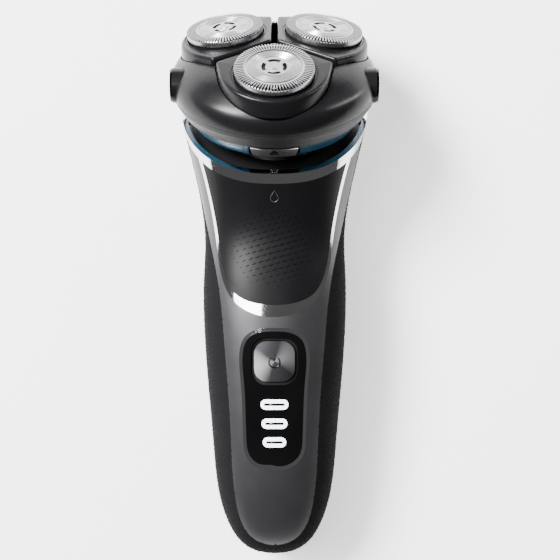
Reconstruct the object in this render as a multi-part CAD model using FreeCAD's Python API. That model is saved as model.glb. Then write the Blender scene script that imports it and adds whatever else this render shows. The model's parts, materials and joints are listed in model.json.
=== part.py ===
"""Rotary electric shaver lying on its back: handle, pivoting neck and a three-head shaving unit.

Frame: X across, Y along the handle towards the head, Z up out of the front face. Millimetres.
The origin is under the middle of the shaver, on the surface that its back rests on.
"""
import FreeCAD, Part
import math
import os
from FreeCAD import Placement, Rotation, Vector

os.makedirs("parts", exist_ok=True)

# ---------------------------------------------------------------- driving dimensions
# Handle skin, from tail to neck: Y, half width, Z of widest line, Z of front, Z of back.
STATIONS = (
    (-86.0, 3.6, 15.4, 18.0, 13.0),
    (-85.2, 6.2, 15.4, 19.9, 11.0),
    (-83.4, 9.4, 15.4, 22.5, 8.4),
    (-80.4, 12.3, 15.5, 25.4, 5.2),
    (-76.0, 14.7, 15.6, 28.2, 2.6),
    (-70.0, 16.8, 15.8, 30.8, 0.6),
    (-62.0, 18.3, 16.1, 33.0, -0.3),
    (-48.0, 19.55, 16.6, 35.6, 0.5),
    (-30.0, 21.1, 17.2, 37.2, 1.6),
    (-12.0, 22.2, 17.8, 37.9, 1.2),
    (2.0, 22.2, 18.2, 37.1, 0.2),
    (13.0, 21.8, 18.6, 36.2, -0.5),
    (24.0, 22.9, 19.5, 38.8, -0.7),
    (34.0, 24.9, 21.0, 42.6, -0.7),
    (44.0, 27.2, 23.2, 46.2, -0.5),
    (54.0, 29.4, 25.4, 49.2, 0.2),
    (66.0, 30.6, 27.0, 51.5, 1.4),
)
TAIL_START = -70.0
TAIL_END = -86.0
WALL = 2.2                      # thickness of the handle's skins
SEAM = 0.08                     # gap between neighbouring skins
FRONT_POWER = 2.4               # squareness of the front half of a section
BACK_POWER = 2.7                # squareness of the back half
SECTION_POINTS = 28

# Side view of the neck's rim, front to back: Y and Z.
NECK_EDGE = ((17.0, 55.8), (31.5, 42.0), (50.0, 25.0), (58.4, 12.0), (62.3, 3.0), (65.0, -7.0))
NECK_DIRECTION = Vector(0, 0.70, 0.714)
NECK_TRIM_WIDTH = 2.7
NECK_TRIM_WALL = 1.6

HEAD_CENTRE = Vector(0, 72.5, 37.5)     # middle of the shaving plane
HEAD_ANGLE = 37.0               # degrees between the handle's axis and the head's axis
HEAD_SPREAD = 17.66             # from the head's axis to each shaving head's axis
HEAD_CANT = 8.0                 # degrees each shaving head leans outwards
HEAD_ANGLES = (-90.0, 30.0, 150.0)
HEAD_NAMES = ("front", "right", "left")
PIVOT_DEPTH = 27.0              # below the shaving plane, on the head's axis

GUARD_RADIUS = 11.75
GUARD_SKIRT_RADIUS = 11.5
PETAL_BORE = 11.9
PETAL_RADIUS = 16.5
PETAL_ARC_SHIFT = 3.6           # from each guard's axis in to the middle of its petal's arc
PETAL_CORNER = 20.0             # from the head's axis to each petal's corners
PETAL_GAP = 0.75                # half the groove between two petals
PETAL_PLAY = 0.3                # room round a petal
PETAL_TOP = -2.6
GROOVE_FLOOR = -9.0             # between the petals
PETAL_BOTTOM = -9.9
COVER_FLOOR = -10.9
COVER_UNDERSIDE = -12.4
COVER_SPLIT = -15.5             # where cover and base meet
BASE_BOTTOM = -20.5
HINGE_Y = 32.2
HINGE_Z = -15.55
BADGE_Y = -5.5
BADGE_Z = -12.5
BADGE_RADIUS = 5.0
BADGE_SEAT = 30.6

GEAR_MODULE = 0.8
CENTRAL_TEETH = 24
SPINDLE_TEETH = 18
SPINDLE_SPREAD = GEAR_MODULE * (CENTRAL_TEETH + SPINDLE_TEETH) / 2
BACKLASH = 0.14
GEAR_TOP = -17.3
GEAR_BOTTOM = -19.3

MOTOR_ANGLE = 10.0              # degrees between the handle's axis and the motor's axis
MOTOR_RADIUS = 9.0
MOTOR_LENGTH = 25.0
MOTOR_TOP = 12.5                # from the pivot down to the can
COUPLING_BALL = 2.1

BUTTON_Y = -24.0
BUTTON_SIZE = 12.2
LIGHTS = ((-37.0, 8.3), (-42.8, 7.7), (-48.5, 7.0))     # Y and length of each bar
LIGHT_HEIGHT = 3.1

CELL_RADIUS = 7.1
CELL_Z = 14.6
CELL_ENDS = (-64.5, -14.5)
BOARD_Z = 25.0
BOARD_THICKNESS = 1.2

TRIMMER_PIN = (17.0, 2.5)       # Y and Z
TRIMMER_END = 46.0
TRIMMER_HALF = 10.6
POCKET_ROOF = 5.2
SLIDE_Y = (3.0, 10.0)
SLIDE_TRAVEL = 2.5

parts = {}


# ---------------------------------------------------------------- helpers
def box(x0, x1, y0, y1, z0, z1):
    return Part.makeBox(x1 - x0, y1 - y0, z1 - z0, Vector(x0, y0, z0))


def rod(radius, start, end):
    axis = end - start
    return Part.makeCylinder(radius, axis.Length, start, axis)


def tube(outer, inner, start, end):
    return rod(outer, start, end).cut(rod(inner, start, end))


def up(radius, z0, z1, x=0.0, y=0.0):
    return Part.makeCylinder(radius, z1 - z0, Vector(x, y, z0))


def ring(outer, inner, z0, z1, x=0.0, y=0.0):
    return up(outer, z0, z1, x, y).cut(up(inner, z0, z1, x, y))


def revolve(profile):
    """Turn a closed outline of (radius, z) points about the local Z axis."""
    points = [Vector(r, 0, z) for r, z in profile]
    face = Part.Face(Part.makePolygon(points + points[:1]))
    return face.revolve(Vector(0, 0, 0), Vector(0, 0, 1), 360)


def prism(wire, z0, z1):
    """Extrude a closed flat outline from z0 to z1."""
    face = Part.Face(wire)
    face.translate(Vector(0, 0, z0 - face.BoundBox.ZMin))
    return face.extrude(Vector(0, 0, z1 - z0))


def smooth_outline(half_points, end_y):
    """Closed outline from (x, y) points up the right side, mirrored, closed straight at end_y."""
    right = [Vector(x, y, 0) for x, y in half_points]
    left = [Vector(-x, y, 0) for x, y in reversed(half_points) if x > 0]
    curve = Part.BSplineCurve()
    curve.interpolate(left + right)
    top_right = Vector(right[-1].x, end_y, 0)
    top_left = Vector(-right[-1].x, end_y, 0)
    edges = [curve.toShape()]
    if abs(end_y - right[-1].y) > 0.001:
        edges += [Part.makeLine(right[-1], top_right), Part.makeLine(top_left, left[0])]
    edges.append(Part.makeLine(top_right, top_left))
    return Part.Wire(Part.__sortEdges__(edges))


def rounded_rectangle(half_x, half_y, radius, centre_x=0.0, centre_y=0.0):
    solid = box(-half_x, half_x, -half_y, half_y, 0, 1)
    upright = [e for e in solid.Edges if abs(e.Vertexes[0].Z - e.Vertexes[-1].Z) > 0.5]
    solid = solid.makeFillet(radius, upright)
    bottom = [f for f in solid.Faces if f.BoundBox.ZMax < 0.001][0]
    wire = bottom.OuterWire
    wire.translate(Vector(centre_x, centre_y, 0))
    return wire


def coil(radius, wire_radius, pitch, height):
    """A closed solid spring along local Z, bent from short straight lengths of wire."""
    bends = 10
    points = []
    for i in range(round(height / pitch * bends) + 1):
        turn = 2 * math.pi * i / bends
        points.append(Vector(radius * math.cos(turn), radius * math.sin(turn), pitch * i / bends))
    section = Part.Wire(Part.makeCircle(wire_radius, points[0], points[1] - points[0]))
    return Part.makePolygon(points).makePipeShell([section], True, False, 1)


# ---------------------------------------------------------------- handle body
def section_wire(y, half_width, z_mid, z_front, z_back):
    points = []
    for i in range(SECTION_POINTS):
        angle = 2 * math.pi * i / SECTION_POINTS
        c, s = math.cos(angle), math.sin(angle)
        power = FRONT_POWER if s >= 0 else BACK_POWER
        reach = z_front - z_mid if s >= 0 else z_mid - z_back
        x = half_width * math.copysign(abs(c) ** (2 / power), c)
        z = z_mid + reach * math.copysign(abs(s) ** (2 / power), s)
        points.append(Vector(x, y, z))
    curve = Part.BSplineCurve()
    curve.interpolate(Points=points, PeriodicFlag=True)
    return Part.Wire(curve.toShape())


def handle_solid(inset):
    """The handle's outer form, shrunk by inset on every side."""
    tail_length = TAIL_START - TAIL_END
    wires = []
    for y, half_width, z_mid, z_front, z_back in STATIONS:
        if y < TAIL_START:
            y = TAIL_START - (TAIL_START - y) * (tail_length - inset) / tail_length
        width = max(half_width - inset, 1.2)
        front = max(z_front - inset, z_mid + 1.0)
        back = min(z_back + inset, z_mid - 1.0)
        wires.append(section_wire(y, width, z_mid, front, back))
    return Part.makeLoft(wires, True, False)


def neck_tool(drop):
    """Everything beyond the neck's rim, lowered into the handle by drop."""
    points = [Vector(-60, y, z) - NECK_DIRECTION * drop for y, z in NECK_EDGE]
    curve = Part.BSplineCurve()
    curve.interpolate(points)
    far_low = Vector(-60, 140, points[-1].z)
    far_high = Vector(-60, 140, points[0].z)
    lines = Part.makePolygon([points[-1], far_low, far_high, points[0]])
    wire = Part.Wire([curve.toShape()] + lines.Edges)
    return Part.Face(wire).extrude(Vector(120, 0, 0))


PANEL_FLOOR = 22.0              # lowest Z that the front skins reach
PANEL_EDGE = ((0, -82.0), (6.8, -79.5), (11.9, -67.5), (13.4, -45.0), (15.2, -18.8), (16.9, -2.0),
              (20.2, 14.0), (24.2, 32.0), (26.5, 43.0), (28.0, 52.0))
TRIM_EDGE = ((0, -10.7), (7.5, -9.2), (12.6, -5.6), (15.1, -1.2), (17.9, 13.0), (20.4, 27.0), (25.2, 43.0))
GRIP_EDGE = ((0, -7.1), (7.0, -6.2), (11.9, -3.6), (14.2, -0.2), (17.1, 13.0), (19.6, 27.0), (24.4, 43.0))
LENS_EDGE = ((0, -55.7), (4.6, -55.2), (7.5, -52.6), (8.5, -47.5), (9.2, -30.0), (9.6, -22.5),
             (7.9, -17.2), (4.6, -15.4), (0, -15.0))
BEZEL_EDGE = ((0, -56.8), (5.0, -56.3), (8.4, -53.3), (9.5, -47.5), (10.2, -30.0), (10.6, -22.3),
              (8.7, -16.4), (5.0, -14.3), (0, -13.9))


def closed_outline(half_points):
    """Closed smooth outline through (x, y) points from bottom to top, mirrored about X = 0."""
    right = [Vector(x, y, 0) for x, y in half_points]
    left = [Vector(-x, y, 0) for x, y in reversed(half_points) if x > 0]
    curve = Part.BSplineCurve()
    curve.interpolate(Points=right + left, PeriodicFlag=True)
    return Part.Wire(curve.toShape())


def build_handle():
    base_plane = box(-60, 60, -120, 120, -20, 0)
    rim = neck_tool(0)
    outer = handle_solid(0).cut(rim).cut(base_plane)
    skin = outer.cut(handle_solid(WALL))
    trim_zone = neck_tool(NECK_TRIM_WIDTH)
    parts["neck_trim"] = outer.cut(handle_solid(NECK_TRIM_WALL)).common(trim_zone)
    skin = skin.cut(neck_tool(NECK_TRIM_WIDTH + SEAM))

    panel_zone = prism(smooth_outline(PANEL_EDGE, 90), PANEL_FLOOR, 70)
    trim_prism = prism(smooth_outline(TRIM_EDGE, 90), PANEL_FLOOR, 70)
    grip_prism = prism(smooth_outline(GRIP_EDGE, 90), PANEL_FLOOR, 70)
    front_skin = skin.common(panel_zone)
    parts["grip_panel"] = front_skin.common(grip_prism)
    parts["grip_trim"] = front_skin.common(trim_prism).cut(grip_prism)

    bezel_prism = prism(closed_outline(BEZEL_EDGE), 26.5, 60)
    lens_prism = prism(closed_outline(LENS_EDGE), 26.5, 60)
    parts["front_panel"] = front_skin.cut(trim_prism).cut(bezel_prism)
    parts["control_bezel"] = front_skin.common(bezel_prism).cut(lens_prism)

    opening = BUTTON_SIZE / 2 + 1.0
    button_hole = prism(rounded_rectangle(opening, opening, 4.6, 0, BUTTON_Y), 20, 60)
    lens = front_skin.common(lens_prism).cut(button_hole)
    bars = None
    for y, length in LIGHTS:
        half = LIGHT_HEIGHT / 2
        outline = rounded_rectangle(length / 2, half, half - 0.02, 0, y)
        pipe = prism(outline, BOARD_Z + 2.6, 60).common(outer)
        bars = pipe if bars is None else bars.fuse(pipe)
    parts["control_lens"] = lens.cut(bars)
    parts["charge_lights"] = bars

    half = BUTTON_SIZE / 2
    cap_prism = prism(rounded_rectangle(half, half, 3.9, 0, BUTTON_Y), 31.6, 60)
    parts["power_button"] = cap_prism.common(handle_solid(0.15))
    seal_inner = prism(rounded_rectangle(half + 0.25, half + 0.25, 4.1, 0, BUTTON_Y), 30.7, 60)
    seal_outer = prism(rounded_rectangle(opening - 0.02, opening - 0.02, 4.58, 0, BUTTON_Y), 30.2, 60)
    nub = up(1.5, 29.4, 30.4, 0, BUTTON_Y)
    parts["button_seal"] = seal_outer.common(handle_solid(0.9)).cut(seal_inner).fuse(nub)

    rear = skin.cut(prism(smooth_outline(PANEL_EDGE, 90), PANEL_FLOOR, 70))
    rear = cut_rear_openings(rear)
    parts["rear_housing"] = rear.fuse(screw_bosses()).cut(screw_shanks())


SCREW_X = 12.4
SCREW_Y = (-58.0, -9.0)
FRAME_FOOT_Z = 8.0
INLET_Z = 15.4


def screw_bosses():
    inside = handle_solid(1.0)
    bosses = [up(2.2, -1, FRAME_FOOT_Z, side * SCREW_X, y) for side in (-1, 1) for y in SCREW_Y]
    return bosses[0].multiFuse(bosses[1:]).common(inside)


def screw_shanks():
    shanks = [up(0.9, 4, 12, side * SCREW_X, y) for side in (-1, 1) for y in SCREW_Y]
    return shanks[0].multiFuse(shanks[1:])


def cut_rear_openings(rear):
    """Charging socket, trimmer pocket with its inner walls, and the trimmer slide's slot."""
    rear = rear.cut(box(-5.0, 5.0, -90, -70, INLET_Z - 3.5, INLET_Z + 3.5))
    pocket_wall = box(-TRIMMER_HALF - 1.4, TRIMMER_HALF + 1.4, 14.0, TRIMMER_END + 1.6, 0.2, POCKET_ROOF)
    rear = rear.fuse(pocket_wall.common(handle_solid(0.3)))
    rear = rear.cut(box(-TRIMMER_HALF - 0.3, TRIMMER_HALF + 0.3, 15.0, TRIMMER_END + 0.4, -5, 4.5))
    pin_y, pin_z = TRIMMER_PIN
    reach = TRIMMER_HALF + 1.3
    rear = rear.cut(rod(0.8, Vector(-reach, pin_y, pin_z), Vector(reach, pin_y, pin_z)))
    slot = box(-5.3, 5.3, SLIDE_Y[0] - 0.2, SLIDE_Y[1] + SLIDE_TRAVEL + 0.4, -5, 1.5)
    return rear.cut(slot).cut(box(-2.5, 2.5, SLIDE_Y[0] + 1.2, SLIDE_Y[1] + SLIDE_TRAVEL - 1.0, -5, 3))


def build_inside():
    """Chassis, cell, board, switch, charging inlet and motor."""
    cell_start, cell_end = CELL_ENDS
    cradle = box(-10.2, 10.2, cell_start - 2.2, cell_end + 5.5, FRAME_FOOT_Z, BOARD_Z)
    cradle = cradle.cut(box(-8.2, 8.2, cell_start - 0.9, cell_end + 0.9, 7, BOARD_Z + 1))
    supports = box(-8.2, 8.2, cell_start + 6, cell_end - 6, FRAME_FOOT_Z, CELL_Z)
    supports = supports.cut(box(-9, 9, cell_start + 12, cell_end - 12, 7, CELL_Z + 1))
    cell_room = rod(CELL_RADIUS + 0.05, Vector(0, cell_start - 1, CELL_Z), Vector(0, cell_end + 1, CELL_Z))
    frame = cradle.fuse(supports).cut(cell_room)
    for side in (-1, 1):
        for y in SCREW_Y:
            near, far = sorted((side * 10.0, side * 14.5))
            frame = frame.fuse(box(near, far, y - 2.4, y + 2.4, FRAME_FOOT_Z, FRAME_FOOT_Z + 2))
    parts["inner_frame"] = frame.cut(screw_shanks())

    screws = []
    for side in (-1, 1):
        for y in SCREW_Y:
            shank = up(0.9, 4.2, FRAME_FOOT_Z + 2, side * SCREW_X, y)
            head = up(1.9, FRAME_FOOT_Z + 2, FRAME_FOOT_Z + 3.2, side * SCREW_X, y)
            slot = box(side * SCREW_X - 0.3, side * SCREW_X + 0.3, y - 3, y + 3, 10.7, 12)
            screws.append(shank.fuse(head).cut(slot))
    parts["housing_screws"] = Part.makeCompound(screws)

    can = rod(CELL_RADIUS, Vector(0, cell_start, CELL_Z), Vector(0, cell_end - 1.2, CELL_Z))
    terminal = rod(2.8, Vector(0, cell_end - 1.2, CELL_Z), Vector(0, cell_end, CELL_Z))
    parts["battery_cell"] = can.fuse(terminal)
    low_tab = box(-2.5, 2.5, cell_start - 0.5, cell_start, CELL_Z - 3, BOARD_Z - 1.2)
    high_tab = box(-2.5, 2.5, cell_end, cell_end + 0.5, CELL_Z - 3, BOARD_Z - 1.2)
    parts["battery_tabs"] = Part.makeCompound([low_tab, high_tab])

    board = box(-9.8, 9.8, -61.0, -9.4, BOARD_Z, BOARD_Z + BOARD_THICKNESS)
    chips = box(-7.5, -3.0, -17.5, -12.5, 0, 1.1).fuse(box(3.0, 8.0, -33.5, -29.5, 0, 0.9))
    chips.translate(Vector(0, 0, BOARD_Z + BOARD_THICKNESS))
    parts["circuit_board"] = board.fuse(chips)
    top = BOARD_Z + BOARD_THICKNESS
    switch = box(-3, 3, BUTTON_Y - 3, BUTTON_Y + 3, top, 28.3)
    parts["tact_switch"] = switch.fuse(up(1.5, 28.3, 29.35, 0, BUTTON_Y))
    leds = []
    for y, length in LIGHTS:
        for x in (-length / 4, length / 4):
            leds.append(box(x - 0.8, x + 0.8, y - 0.8, y + 0.8, top, top + 0.8))
    parts["indicator_leds"] = Part.makeCompound(leds)

    inlet = box(-4.95, 4.95, -84.4, -72.0, INLET_Z - 3.45, INLET_Z + 3.45)
    mouth = prism(rounded_rectangle(4.3, 3.0, 1.6), 0, 9.0)
    mouth.rotate(Vector(0, 0, 0), Vector(1, 0, 0), -90)
    mouth.translate(Vector(0, -84.4, INLET_Z))
    inlet = inlet.cut(mouth)
    pins = []
    for x in (-1.9, 1.9):
        pins.append(rod(0.65, Vector(x, -79.4, INLET_Z), Vector(x, -70.5, INLET_Z)))
    for pin in pins:
        inlet = inlet.cut(pin)
    parts["power_inlet"] = inlet
    parts["inlet_pins"] = Part.makeCompound(pins)


def head_frame():
    """Placement of the shaving unit's own axes: x across, y to its rear, z out of its top."""
    return Placement(HEAD_CENTRE, Rotation(Vector(1, 0, 0), HEAD_ANGLE - 90))


def pivot_point():
    return head_frame().multVec(Vector(0, 0, -PIVOT_DEPTH))


def motor_direction():
    angle = math.radians(MOTOR_ANGLE)
    return Vector(0, math.cos(angle), math.sin(angle))


def build_motor():
    pivot = pivot_point()
    along = motor_direction()

    def at(distance):
        return pivot - along * distance

    top, bottom = MOTOR_TOP, MOTOR_TOP + MOTOR_LENGTH
    can = rod(MOTOR_RADIUS, at(bottom), at(top))
    can = can.cut(rod(MOTOR_RADIUS - 0.8, at(bottom - 0.8), at(top + 0.8)))
    can = can.cut(rod(1.05, at(bottom + 1), at(top - 1)))
    parts["motor_can"] = can
    magnets = tube(MOTOR_RADIUS - 0.8, MOTOR_RADIUS - 1.9, at(bottom - 3), at(top + 3))
    gap = box(-1.5, 1.5, 0, 60, 0, 40)
    parts["motor_magnets"] = magnets.cut(gap)
    shaft = rod(1.0, at(bottom - 0.2), at(3.6))
    armature = rod(6.6, at(bottom - 4), at(top + 4))
    parts["motor_rotor"] = armature.fuse(shaft)
    ball = Part.makeSphere(COUPLING_BALL, pivot)
    sleeve = tube(1.6, 1.0, at(6.5), at(3.6)).fuse(rod(1.6, at(3.6), at(3.2)))
    parts["drive_coupling"] = ball.fuse(rod(1.0, at(3.3), at(1.2))).fuse(sleeve)

    outer = MOTOR_RADIUS + 1.6
    mount = tube(outer, MOTOR_RADIUS, at(bottom - 2), at(top))
    mount = mount.fuse(tube(outer, 3.2, at(top), at(top - 1.6)))
    arms = None
    for side in (-1, 1):
        near, far = sorted((side * 15.4, side * 17.4))
        post = box(near, far, -3, 3, -41, -24.6)
        near, far = sorted((side * 9.0, side * 17.4))
        arm = post.fuse(box(near, far, -8, 3, -41, -38))
        arms = arm if arms is None else arms.fuse(arm)
    arms = in_head(arms).cut(rod(MOTOR_RADIUS, at(bottom), at(top)))
    pins = in_head(gimbal_pins(Vector(1, 0, 0), 12.9, 17.3, 0.9))
    mount = mount.cut(box(-20, 20, 0, TRIMMER_END + 3, -5, POCKET_ROOF + 0.15))
    parts["motor_mount"] = mount.fuse(arms).cut(pins)
    parts["pitch_pins"] = pins


def in_head(shape):
    """Move a shape from the shaving unit's own axes to the shaver's."""
    moved = shape.copy()
    moved.Placement = head_frame().multiply(moved.Placement)
    return moved


def gimbal_pins(direction, start, end, radius):
    centre = Vector(0, 0, -PIVOT_DEPTH)
    first = rod(radius, centre + direction * start, centre + direction * end)
    second = rod(radius, centre - direction * start, centre - direction * end)
    return Part.makeCompound([first, second])


# ---------------------------------------------------------------- neck
def build_neck():
    inside = handle_solid(WALL + 0.02)
    plate = inside.common(neck_tool(4.6)).cut(neck_tool(3.1))
    parts["neck_collar"] = plate.cut(in_head(up(18.6, -60, 0)))
    hoop = ring(15.0, 12.4, -28.6, -25.4)
    hoop = hoop.cut(gimbal_pins(Vector(1, 0, 0), 10, 20, 0.95))
    hoop = hoop.cut(gimbal_pins(Vector(0, 1, 0), 10, 20, 0.95))
    parts["gimbal_ring"] = in_head(hoop)
    parts["roll_pins"] = in_head(gimbal_pins(Vector(0, 1, 0), 10.0, 14.7, 0.9))


# ---------------------------------------------------------------- shaving unit
def gear(teeth, z0, z1, first_angle):
    """Spur gear with 20 degree involute flanks, a tooth standing at first_angle degrees."""
    pitch = GEAR_MODULE * teeth / 2
    base = pitch * math.cos(math.radians(20))
    tip = pitch + 0.75 * GEAR_MODULE
    root = pitch - 1.1 * GEAR_MODULE
    half_at_pitch = math.pi / (2 * teeth) - BACKLASH / (2 * pitch)
    involute = math.tan(math.radians(20)) - math.radians(20)
    points = []
    for k in range(teeth):
        centre = math.radians(first_angle) + 2 * math.pi * k / teeth
        flank = []
        for i in range(5):
            radius = base + 0.02 + (tip - base - 0.02) * i / 4
            roll = math.acos(base / radius)
            half = half_at_pitch + involute - (math.tan(roll) - roll)
            flank.append((radius, half))
        flank.insert(0, (root, flank[0][1] + 0.01))
        outline = [(r, centre - h) for r, h in flank] + [(r, centre + h) for r, h in reversed(flank)]
        points += [Vector(r * math.cos(a), r * math.sin(a), z0) for r, a in outline]
    face = Part.Face(Part.makePolygon(points + points[:1]))
    return face.extrude(Vector(0, 0, z1 - z0))


def at_spindle(shape, angle):
    moved = shape.copy()
    turn = math.radians(angle)
    spot = Vector(SPINDLE_SPREAD * math.cos(turn), SPINDLE_SPREAD * math.sin(turn), 0)
    moved.Placement = Placement(spot, Rotation(Vector(0, 0, 1), angle)).multiply(moved.Placement)
    return moved


def unit_frame(angle, cant):
    """Axes of one shaving head: x outwards, z out of its guard."""
    turn = math.radians(angle)
    spot = Vector(HEAD_SPREAD * math.cos(turn), HEAD_SPREAD * math.sin(turn), 0)
    spin = Rotation(Vector(0, 0, 1), angle).multiply(Rotation(Vector(0, 1, 0), cant))
    return Placement(spot, spin)


def at_unit(shape, angle, cant=HEAD_CANT):
    moved = shape.copy()
    moved.Placement = unit_frame(angle, cant).multiply(moved.Placement)
    return moved


def badge_rod(radius, inner_x, outer_x, side):
    start = Vector(side * inner_x, BADGE_Y, BADGE_Z)
    return rod(radius, start, Vector(side * outer_x, BADGE_Y, BADGE_Z))


def build_head_base():
    profile = ((0, -16.6), (27.3, -16.6), (27.3, BASE_BOTTOM), (29.0, BASE_BOTTOM), (30.9, -17.0),
               (31.2, -15.6), (28.9, -15.6), (28.9, -14.5), (27.7, -14.5), (27.7, -15.4), (0, -15.4))
    base = revolve(profile)
    base = base.fuse(up(3.2, -16.6, -14.4))
    hinge_low = Vector(0, HINGE_Y, HINGE_Z)
    base = base.cut(rod(1.6, hinge_low - Vector(5.2, 0, 0), hinge_low + Vector(5.2, 0, 0)))
    for side in (-1, 1):
        near, far = sorted((side * 5.3, side * 8.6))
        knuckle = rod(1.4, Vector(near, HINGE_Y, HINGE_Z), Vector(far, HINGE_Y, HINGE_Z))
        web = box(near, far, 27.8, HINGE_Y, HINGE_Z - 1.4, -15.65)
        base = base.fuse(web).fuse(knuckle)
    base = base.cut(rod(0.75, hinge_low - Vector(20, 0, 0), hinge_low + Vector(20, 0, 0)))
    base = base.cut(up(1.55, -17, -15.8))
    for angle in HEAD_ANGLES:
        collar = ring(2.4, 1.25, -16.6, -13.0)
        base = base.cut(at_spindle(up(2.0, -17, -15), angle)).fuse(at_spindle(collar, angle))
    for side in (-1, 1):
        base = base.cut(badge_rod(BADGE_RADIUS + 0.45, 26, 36, side))
    parts["head_base"] = in_head(base)

    blue = revolve(((24.4, -25.0), (25.7, -25.0), (28.2, -20.6), (24.4, -20.6)))
    pocket = box(-7.6, 7.6, -32, -22, -26, -20.8)
    parts["color_ring"] = in_head(blue.cut(pocket))
    key = revolve(((25.4, -24.9), (26.6, -24.9), (28.8, -20.95), (25.4, -20.95)))
    corners = ((-7.35, -20.9), (7.35, -20.9), (6.2, -25.0), (-6.2, -25.0))
    outline = [Vector(x, -32, z) for x, z in corners]
    wedge = Part.Face(Part.makePolygon(outline + outline[:1])).extrude(Vector(0, 10, 0))
    parts["release_button"] = in_head(key.common(wedge))

    cover = ring(24.0, 3.65, -21.4, -20.2).fuse(ring(5.2, 3.65, -24.2, -21.4))
    for side in (-1, 1):
        near, far = sorted((side * 9.6, side * 11.8))
        cover = cover.fuse(box(-3.2, 3.2, near, far, -28.8, -21.4))
    cover = cover.fuse(box(-2.5, 2.5, -21.0, -19.6, -24.8, -21.4))
    for angle in HEAD_ANGLES:
        cover = cover.cut(at_spindle(up(1.25, -21.0, -20), angle))
    roll_pins = gimbal_pins(Vector(0, 1, 0), 10.0, 14.7, 0.9)
    parts["gear_cover"] = in_head(cover.cut(roll_pins))
    spring = coil(1.2, 0.25, 0.9, 2.6)
    spring.rotate(Vector(0, 0, 0), Vector(1, 0, 0), 90)
    spring.translate(Vector(0, -21.4, -23.2))
    parts["latch_spring"] = in_head(spring)
    pin = rod(0.75, hinge_low - Vector(8.6, 0, 0), hinge_low + Vector(8.6, 0, 0))
    parts["cover_hinge_pin"] = in_head(pin)


def build_drive():
    wheel = gear(CENTRAL_TEETH, GEAR_BOTTOM, GEAR_TOP, 180.0 / CENTRAL_TEETH)
    hub = up(3.6, -28.0, GEAR_BOTTOM).fuse(up(1.5, GEAR_TOP, -16.0))
    socket = up(COUPLING_BALL + 0.15, -29, -24.6)
    parts["central_gear"] = in_head(wheel.fuse(hub).cut(socket))
    springs = []
    for name, angle in zip(HEAD_NAMES, HEAD_ANGLES):
        spindle = gear(SPINDLE_TEETH, GEAR_BOTTOM, GEAR_TOP, 180)
        spindle = spindle.fuse(up(1.2, -20.8, -8.2)).fuse(up(2.2, -9.2, -8.6))
        spindle = spindle.fuse(box(-0.65, 0.65, -0.65, 0.65, -8.2, -5.5))
        parts["spindle_" + name] = in_head(at_spindle(spindle, angle))
        spring = coil(1.75, 0.22, 0.85, 2.9)
        spring.translate(Vector(0, 0, -12.7))
        springs.append(in_head(at_spindle(spring, angle)))
    parts["spindle_springs"] = Part.makeCompound(springs)


def petal_wire(z):
    """Plan of a petal about its head's centre: two straight inner sides, two tangents and an arc."""
    apex_x = -HEAD_SPREAD + PETAL_GAP / math.sin(math.radians(60))
    corner = Vector(apex_x + PETAL_CORNER / 2, PETAL_CORNER * math.sin(math.radians(60)), z)
    from_middle = Vector(corner.x + PETAL_ARC_SHIFT, corner.y, 0)
    touch = math.atan2(from_middle.y, from_middle.x) - math.acos(PETAL_RADIUS / from_middle.Length)
    tangent = Vector(PETAL_RADIUS * math.cos(touch) - PETAL_ARC_SHIFT, PETAL_RADIUS * math.sin(touch), z)
    apex = Vector(apex_x, 0, z)
    low_corner = Vector(corner.x, -corner.y, z)
    low_tangent = Vector(tangent.x, -tangent.y, z)
    arc = Part.Arc(tangent, Vector(PETAL_RADIUS - PETAL_ARC_SHIFT, 0, z), low_tangent).toShape()
    lines = [Part.makeLine(apex, corner), Part.makeLine(corner, tangent)]
    lines += [arc, Part.makeLine(low_tangent, low_corner), Part.makeLine(low_corner, apex)]
    return Part.Wire(lines)


def petal_room():
    wide = petal_wire(COVER_FLOOR).makeOffset2D(PETAL_PLAY)
    return Part.Face(wide).extrude(Vector(0, 0, 20))


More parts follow.
